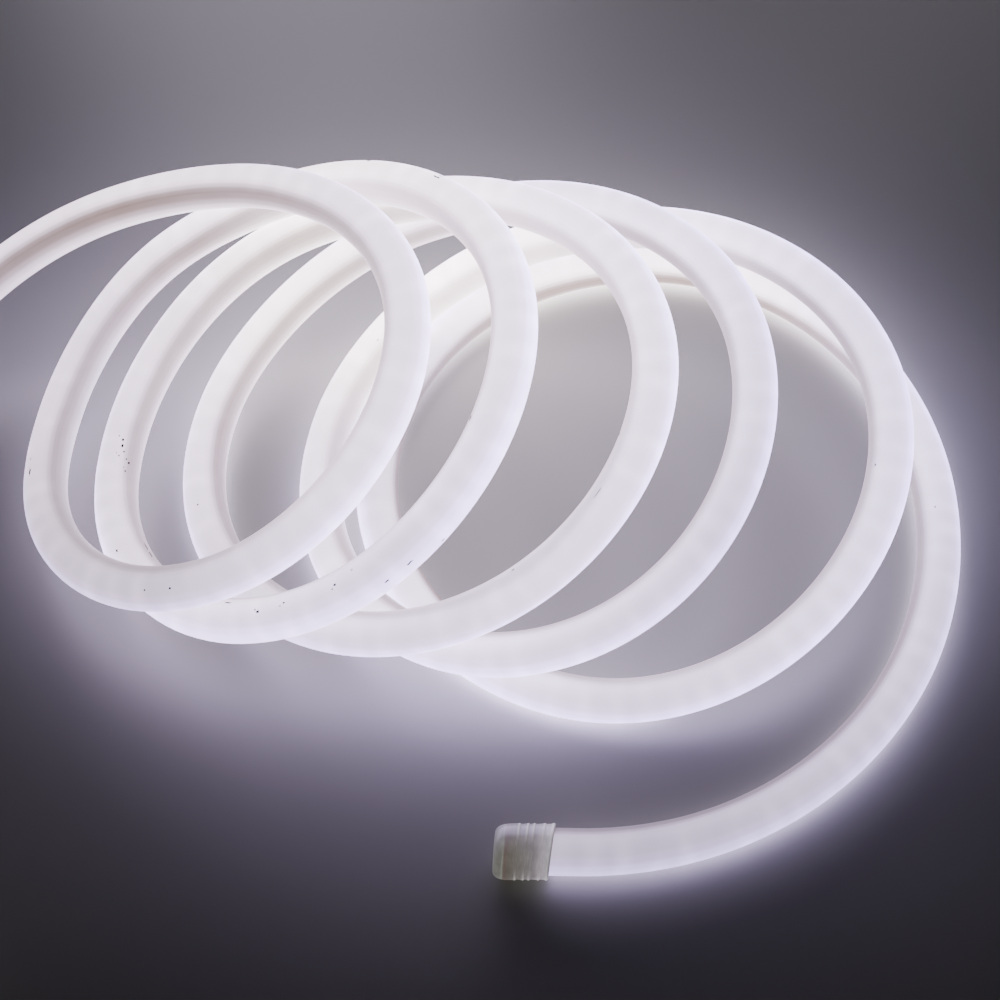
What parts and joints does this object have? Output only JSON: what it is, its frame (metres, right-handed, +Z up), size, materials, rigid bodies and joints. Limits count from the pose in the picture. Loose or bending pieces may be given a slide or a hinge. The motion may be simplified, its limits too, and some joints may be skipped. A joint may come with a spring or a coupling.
{
  "type": "led neon flex",
  "caption": "Round white LED neon flex lying in a loose leaning coil, closed at both ends by slip-on end caps.",
  "frame": {"origin": "on the floor under the middle of the whole coil's box", "axes": "+X to the right of the coil as seen from its open end cap, where the turns are raised; +Y to the back; +Z up from the floor"},
  "size_m": [0.5794, 0.4519, 0.1475],
  "materials": {
    "diffuser": "translucent white silicone, satin, faintly grey-brown along the inner side",
    "end_cap": "milky translucent moulded plastic, satin"
  },
  "bodies": {
    "root": {"neon_flex": "diffuser", "open_end_cap": "end_cap", "hidden_end_cap": "end_cap"}
  },
  "joints": []
}
